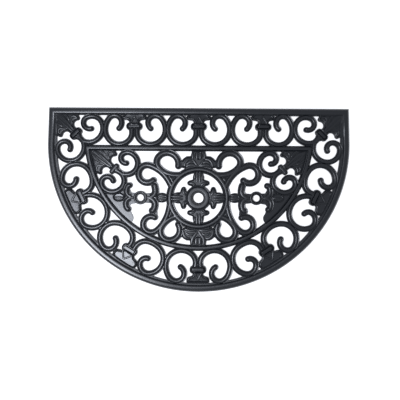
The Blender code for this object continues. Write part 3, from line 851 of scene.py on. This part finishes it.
for web in (ARM_WEB, STEM_WEB) + FORK_WEBS:
    lofted("thin_web", web, WEB_SECTION, filled=True)
for bar in CURLS:
    follow("curl", chain(bar), scroll, Section=bar_section, Nose=bar_nose, Width=bar.width * MM)
for points in ARM_STEMS:
    follow("arm_stem", points, rib, Section=rib_section, Width=ARM_STEM_WIDTH * MM,
        Ground=ARM_STEM_GROUND * MM)
for centre, half_width, half_height in ARM_LEAVES:
    lofted("arm_leaf", oval(centre, half_width, half_height), ARM_LEAF_SECTION, filled=True)
for points in ARM_LEAF_RIBS:
    follow("arm_rib", points, rib, Section=rib_section, Width=ARM_RIB_WIDTH * MM,
        Ground=ARM_RIB_GROUND * MM)


# The moulding. All the forms are one body of rubber, so they are joined into one closed skin,
# cut at the mirror line and mirrored. The underside is the plain flat of the mould's back
# plate. The holes are moulded right through.

MERGE_WITHIN, SEAM_WITHIN = 0.001, 0.002
CREASE_ANGLE = 38


def joined(base, others):
    """The union of a form with all the others, as a mesh."""
    others.objects.unlink(base)
    bpy.context.scene.collection.objects.link(base)
    union = base.modifiers.new("joined", "BOOLEAN")
    union.operation = "UNION"
    union.operand_type = "COLLECTION"
    union.collection = others
    union.solver = "MANIFOLD"
    graph = bpy.context.evaluated_depsgraph_get()
    mesh = bpy.data.meshes.new_from_object(base.evaluated_get(graph))
    for form in [base] + list(others.objects):
        bpy.data.objects.remove(form)
    return mesh


def left_half(mesh):
    """Merges the slivers of the union and keeps the half at -X."""
    work = bmesh.new()
    work.from_mesh(mesh)
    bmesh.ops.remove_doubles(work, verts=work.verts, dist=MERGE_WITHIN * MM)
    bmesh.ops.dissolve_degenerate(work, edges=work.edges, dist=MERGE_WITHIN * MM)
    bmesh.ops.bisect_plane(
        work, geom=work.verts[:] + work.edges[:] + work.faces[:], dist=MERGE_WITHIN * MM,
        plane_co=(0, 0, 0), plane_no=(1, 0, 0), clear_outer=True,
    )
    bmesh.ops.triangulate(work, faces=[face for face in work.faces if len(face.verts) > 4])
    work.to_mesh(mesh)
    work.free()


def apply_modifiers(piece):
    """Keeps what a piece's modifiers make as its plain mesh."""
    graph = bpy.context.evaluated_depsgraph_get()
    made = bpy.data.meshes.new_from_object(piece.evaluated_get(graph))
    piece.modifiers.clear()
    piece.data = made
    return made


moulding = joined(rim, forms)
left_half(moulding)
mat = bpy.data.objects.new("moulded_mat", moulding)
bpy.context.scene.collection.objects.link(mat)
halves = mat.modifiers.new("right_half", "MIRROR")
halves.merge_threshold = SEAM_WITHIN * MM
whole = apply_modifiers(mat)
whole.materials.clear()
whole.materials.append(rubber)
whole.shade_smooth()
whole.set_sharp_from_angle(angle=math.radians(CREASE_ANGLE))
flow = mat.modifiers.new("even_shading", "WEIGHTED_NORMAL")
flow.keep_sharp = True
shaded = apply_modifiers(mat)
shaded.name = "moulded_mat"

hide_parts("mat")
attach(mat, "root")


# Floor. The mat lies on a plain white sweep that runs far past the picture on every side. It
# gives off a little light of its own, as a light table does, so that the holes read white
# under lamps that are set for black rubber.

FLOOR_HALF, FLOOR_LEVEL = 6.0, -0.0005
FLOOR_CORNERS = ((-1, -1), (1, -1), (1, 1), (-1, 1))
PAPER = (0.90, 0.885, 0.86, 1)
PAPER_ROUGH, PAPER_SHINE = 0.9, 0.2
PAPER_GLOW = 0.37
TOOTH_SCALE, TOOTH_STRENGTH, TOOTH_DEPTH = 300.0, 0.05, 0.1


def paper_white():
    made = bpy.data.materials.new("paper_white")
    made.use_nodes = True
    tree = made.node_tree
    shader = tree.nodes["Principled BSDF"]
    where = tree.nodes.new("ShaderNodeTexCoord").outputs["Object"]
    tooth = add_node(tree, "ShaderNodeTexNoise", {
        "Vector": where, "Scale": TOOTH_SCALE, "Detail": 2.0,
    })
    bump = add_node(tree, "ShaderNodeBump", {
        "Height": tooth.outputs["Fac"], "Strength": TOOTH_STRENGTH, "Distance": TOOTH_DEPTH * MM,
    })
    tree.links.new(bump.outputs["Normal"], shader.inputs["Normal"])
    shader.inputs["Base Color"].default_value = PAPER
    shader.inputs["Roughness"].default_value = PAPER_ROUGH
    shader.inputs["Specular IOR Level"].default_value = PAPER_SHINE
    shader.inputs["Emission Color"].default_value = (1, 1, 1, 1)
    shader.inputs["Emission Strength"].default_value = PAPER_GLOW
    return made


ground = bpy.data.meshes.new("floor")
corners = [(FLOOR_HALF * x, FLOOR_HALF * y, FLOOR_LEVEL) for x, y in FLOOR_CORNERS]
ground.from_pydata(corners, [], [(0, 1, 2, 3)])
ground.materials.append(paper_white())
floor = bpy.data.objects.new("floor", ground)
bpy.context.scene.collection.objects.link(floor)


# Camera, straight above the mat, a metre up. The picture shows 2.493 mm in each of its 400
# pixels, the mat's middle lies a little left of the picture's, and the camera is turned by a
# third of a degree.

MM_PER_PIXEL, PIXELS = 2.493, 400
PICTURE_MIDDLE = (198.35, 200.0)
ROLL = 0.0062
LENS = SENSOR = 36.0
CLIP_END = 50.0

reach = MM_PER_PIXEL * PIXELS * MM * LENS / SENSOR
aim_x = (PIXELS / 2 - PICTURE_MIDDLE[0]) * MM_PER_PIXEL * MM
aim_y = (PICTURE_MIDDLE[1] - PIXELS / 2) * MM_PER_PIXEL * MM
lens = bpy.data.cameras.new("camera")
lens.lens = LENS
lens.sensor_width = SENSOR
lens.clip_end = CLIP_END
camera = bpy.data.objects.new("camera", lens)
camera.location = (aim_x, aim_y, reach)
camera.rotation_euler = (0, 0, ROLL)
bpy.context.scene.collection.objects.link(camera)
bpy.context.scene.camera = camera


# Light. Five soft boxes hang in one plane, one over the left half of the mat and four beyond
# its left side, so that the rim, the frame and the plates shine there and the right half
# stays dark. A pale sky fills in from all round.

DAYLIGHT = (0.86, 0.905, 1.0)
SKY_STRENGTH = 0.60
LAMP_HEIGHT = 1.5
LAMP_AIM = Vector((-0.1, 0, 0))
LAMPS = (
    ("key", (-0.539, -0.226), (0.42, 0.42), 6.0),
    ("crown", (-0.69, -0.11), (0.35, 0.35), 3.8),
    ("lower_left", (-0.502, -0.385), (0.36, 0.34), 5.4),
    ("upper_left", (-0.5, 0.31), (0.45, 0.25), 1.3),
    ("middle", (-0.17, -0.06), (0.5, 0.5), 2.6),
)


def soft_box(name, spot, size, watts):
    """A square or oblong soft box over a spot of the floor, turned towards the mat."""
    data = bpy.data.lights.new(name, "AREA")
    data.color = DAYLIGHT
    data.shape = "RECTANGLE"
    data.size, data.size_y = size
    data.energy = watts
    box = bpy.data.objects.new(name, data)
    place = Vector((*spot, LAMP_HEIGHT))
    box.location = place
    box.rotation_euler = (LAMP_AIM - place).to_track_quat("-Z", "Y").to_euler()
    bpy.context.scene.collection.objects.link(box)


for lamp in LAMPS:
    soft_box(*lamp)

world = bpy.data.worlds.new("sky")
world.use_nodes = True
world.node_tree.nodes["Background"].inputs["Color"].default_value = (*DAYLIGHT, 1)
world.node_tree.nodes["Background"].inputs["Strength"].default_value = SKY_STRENGTH
bpy.context.scene.world = world
bpy.context.scene.view_settings.view_transform = "Standard"
bpy.context.scene.view_settings.look = "None"
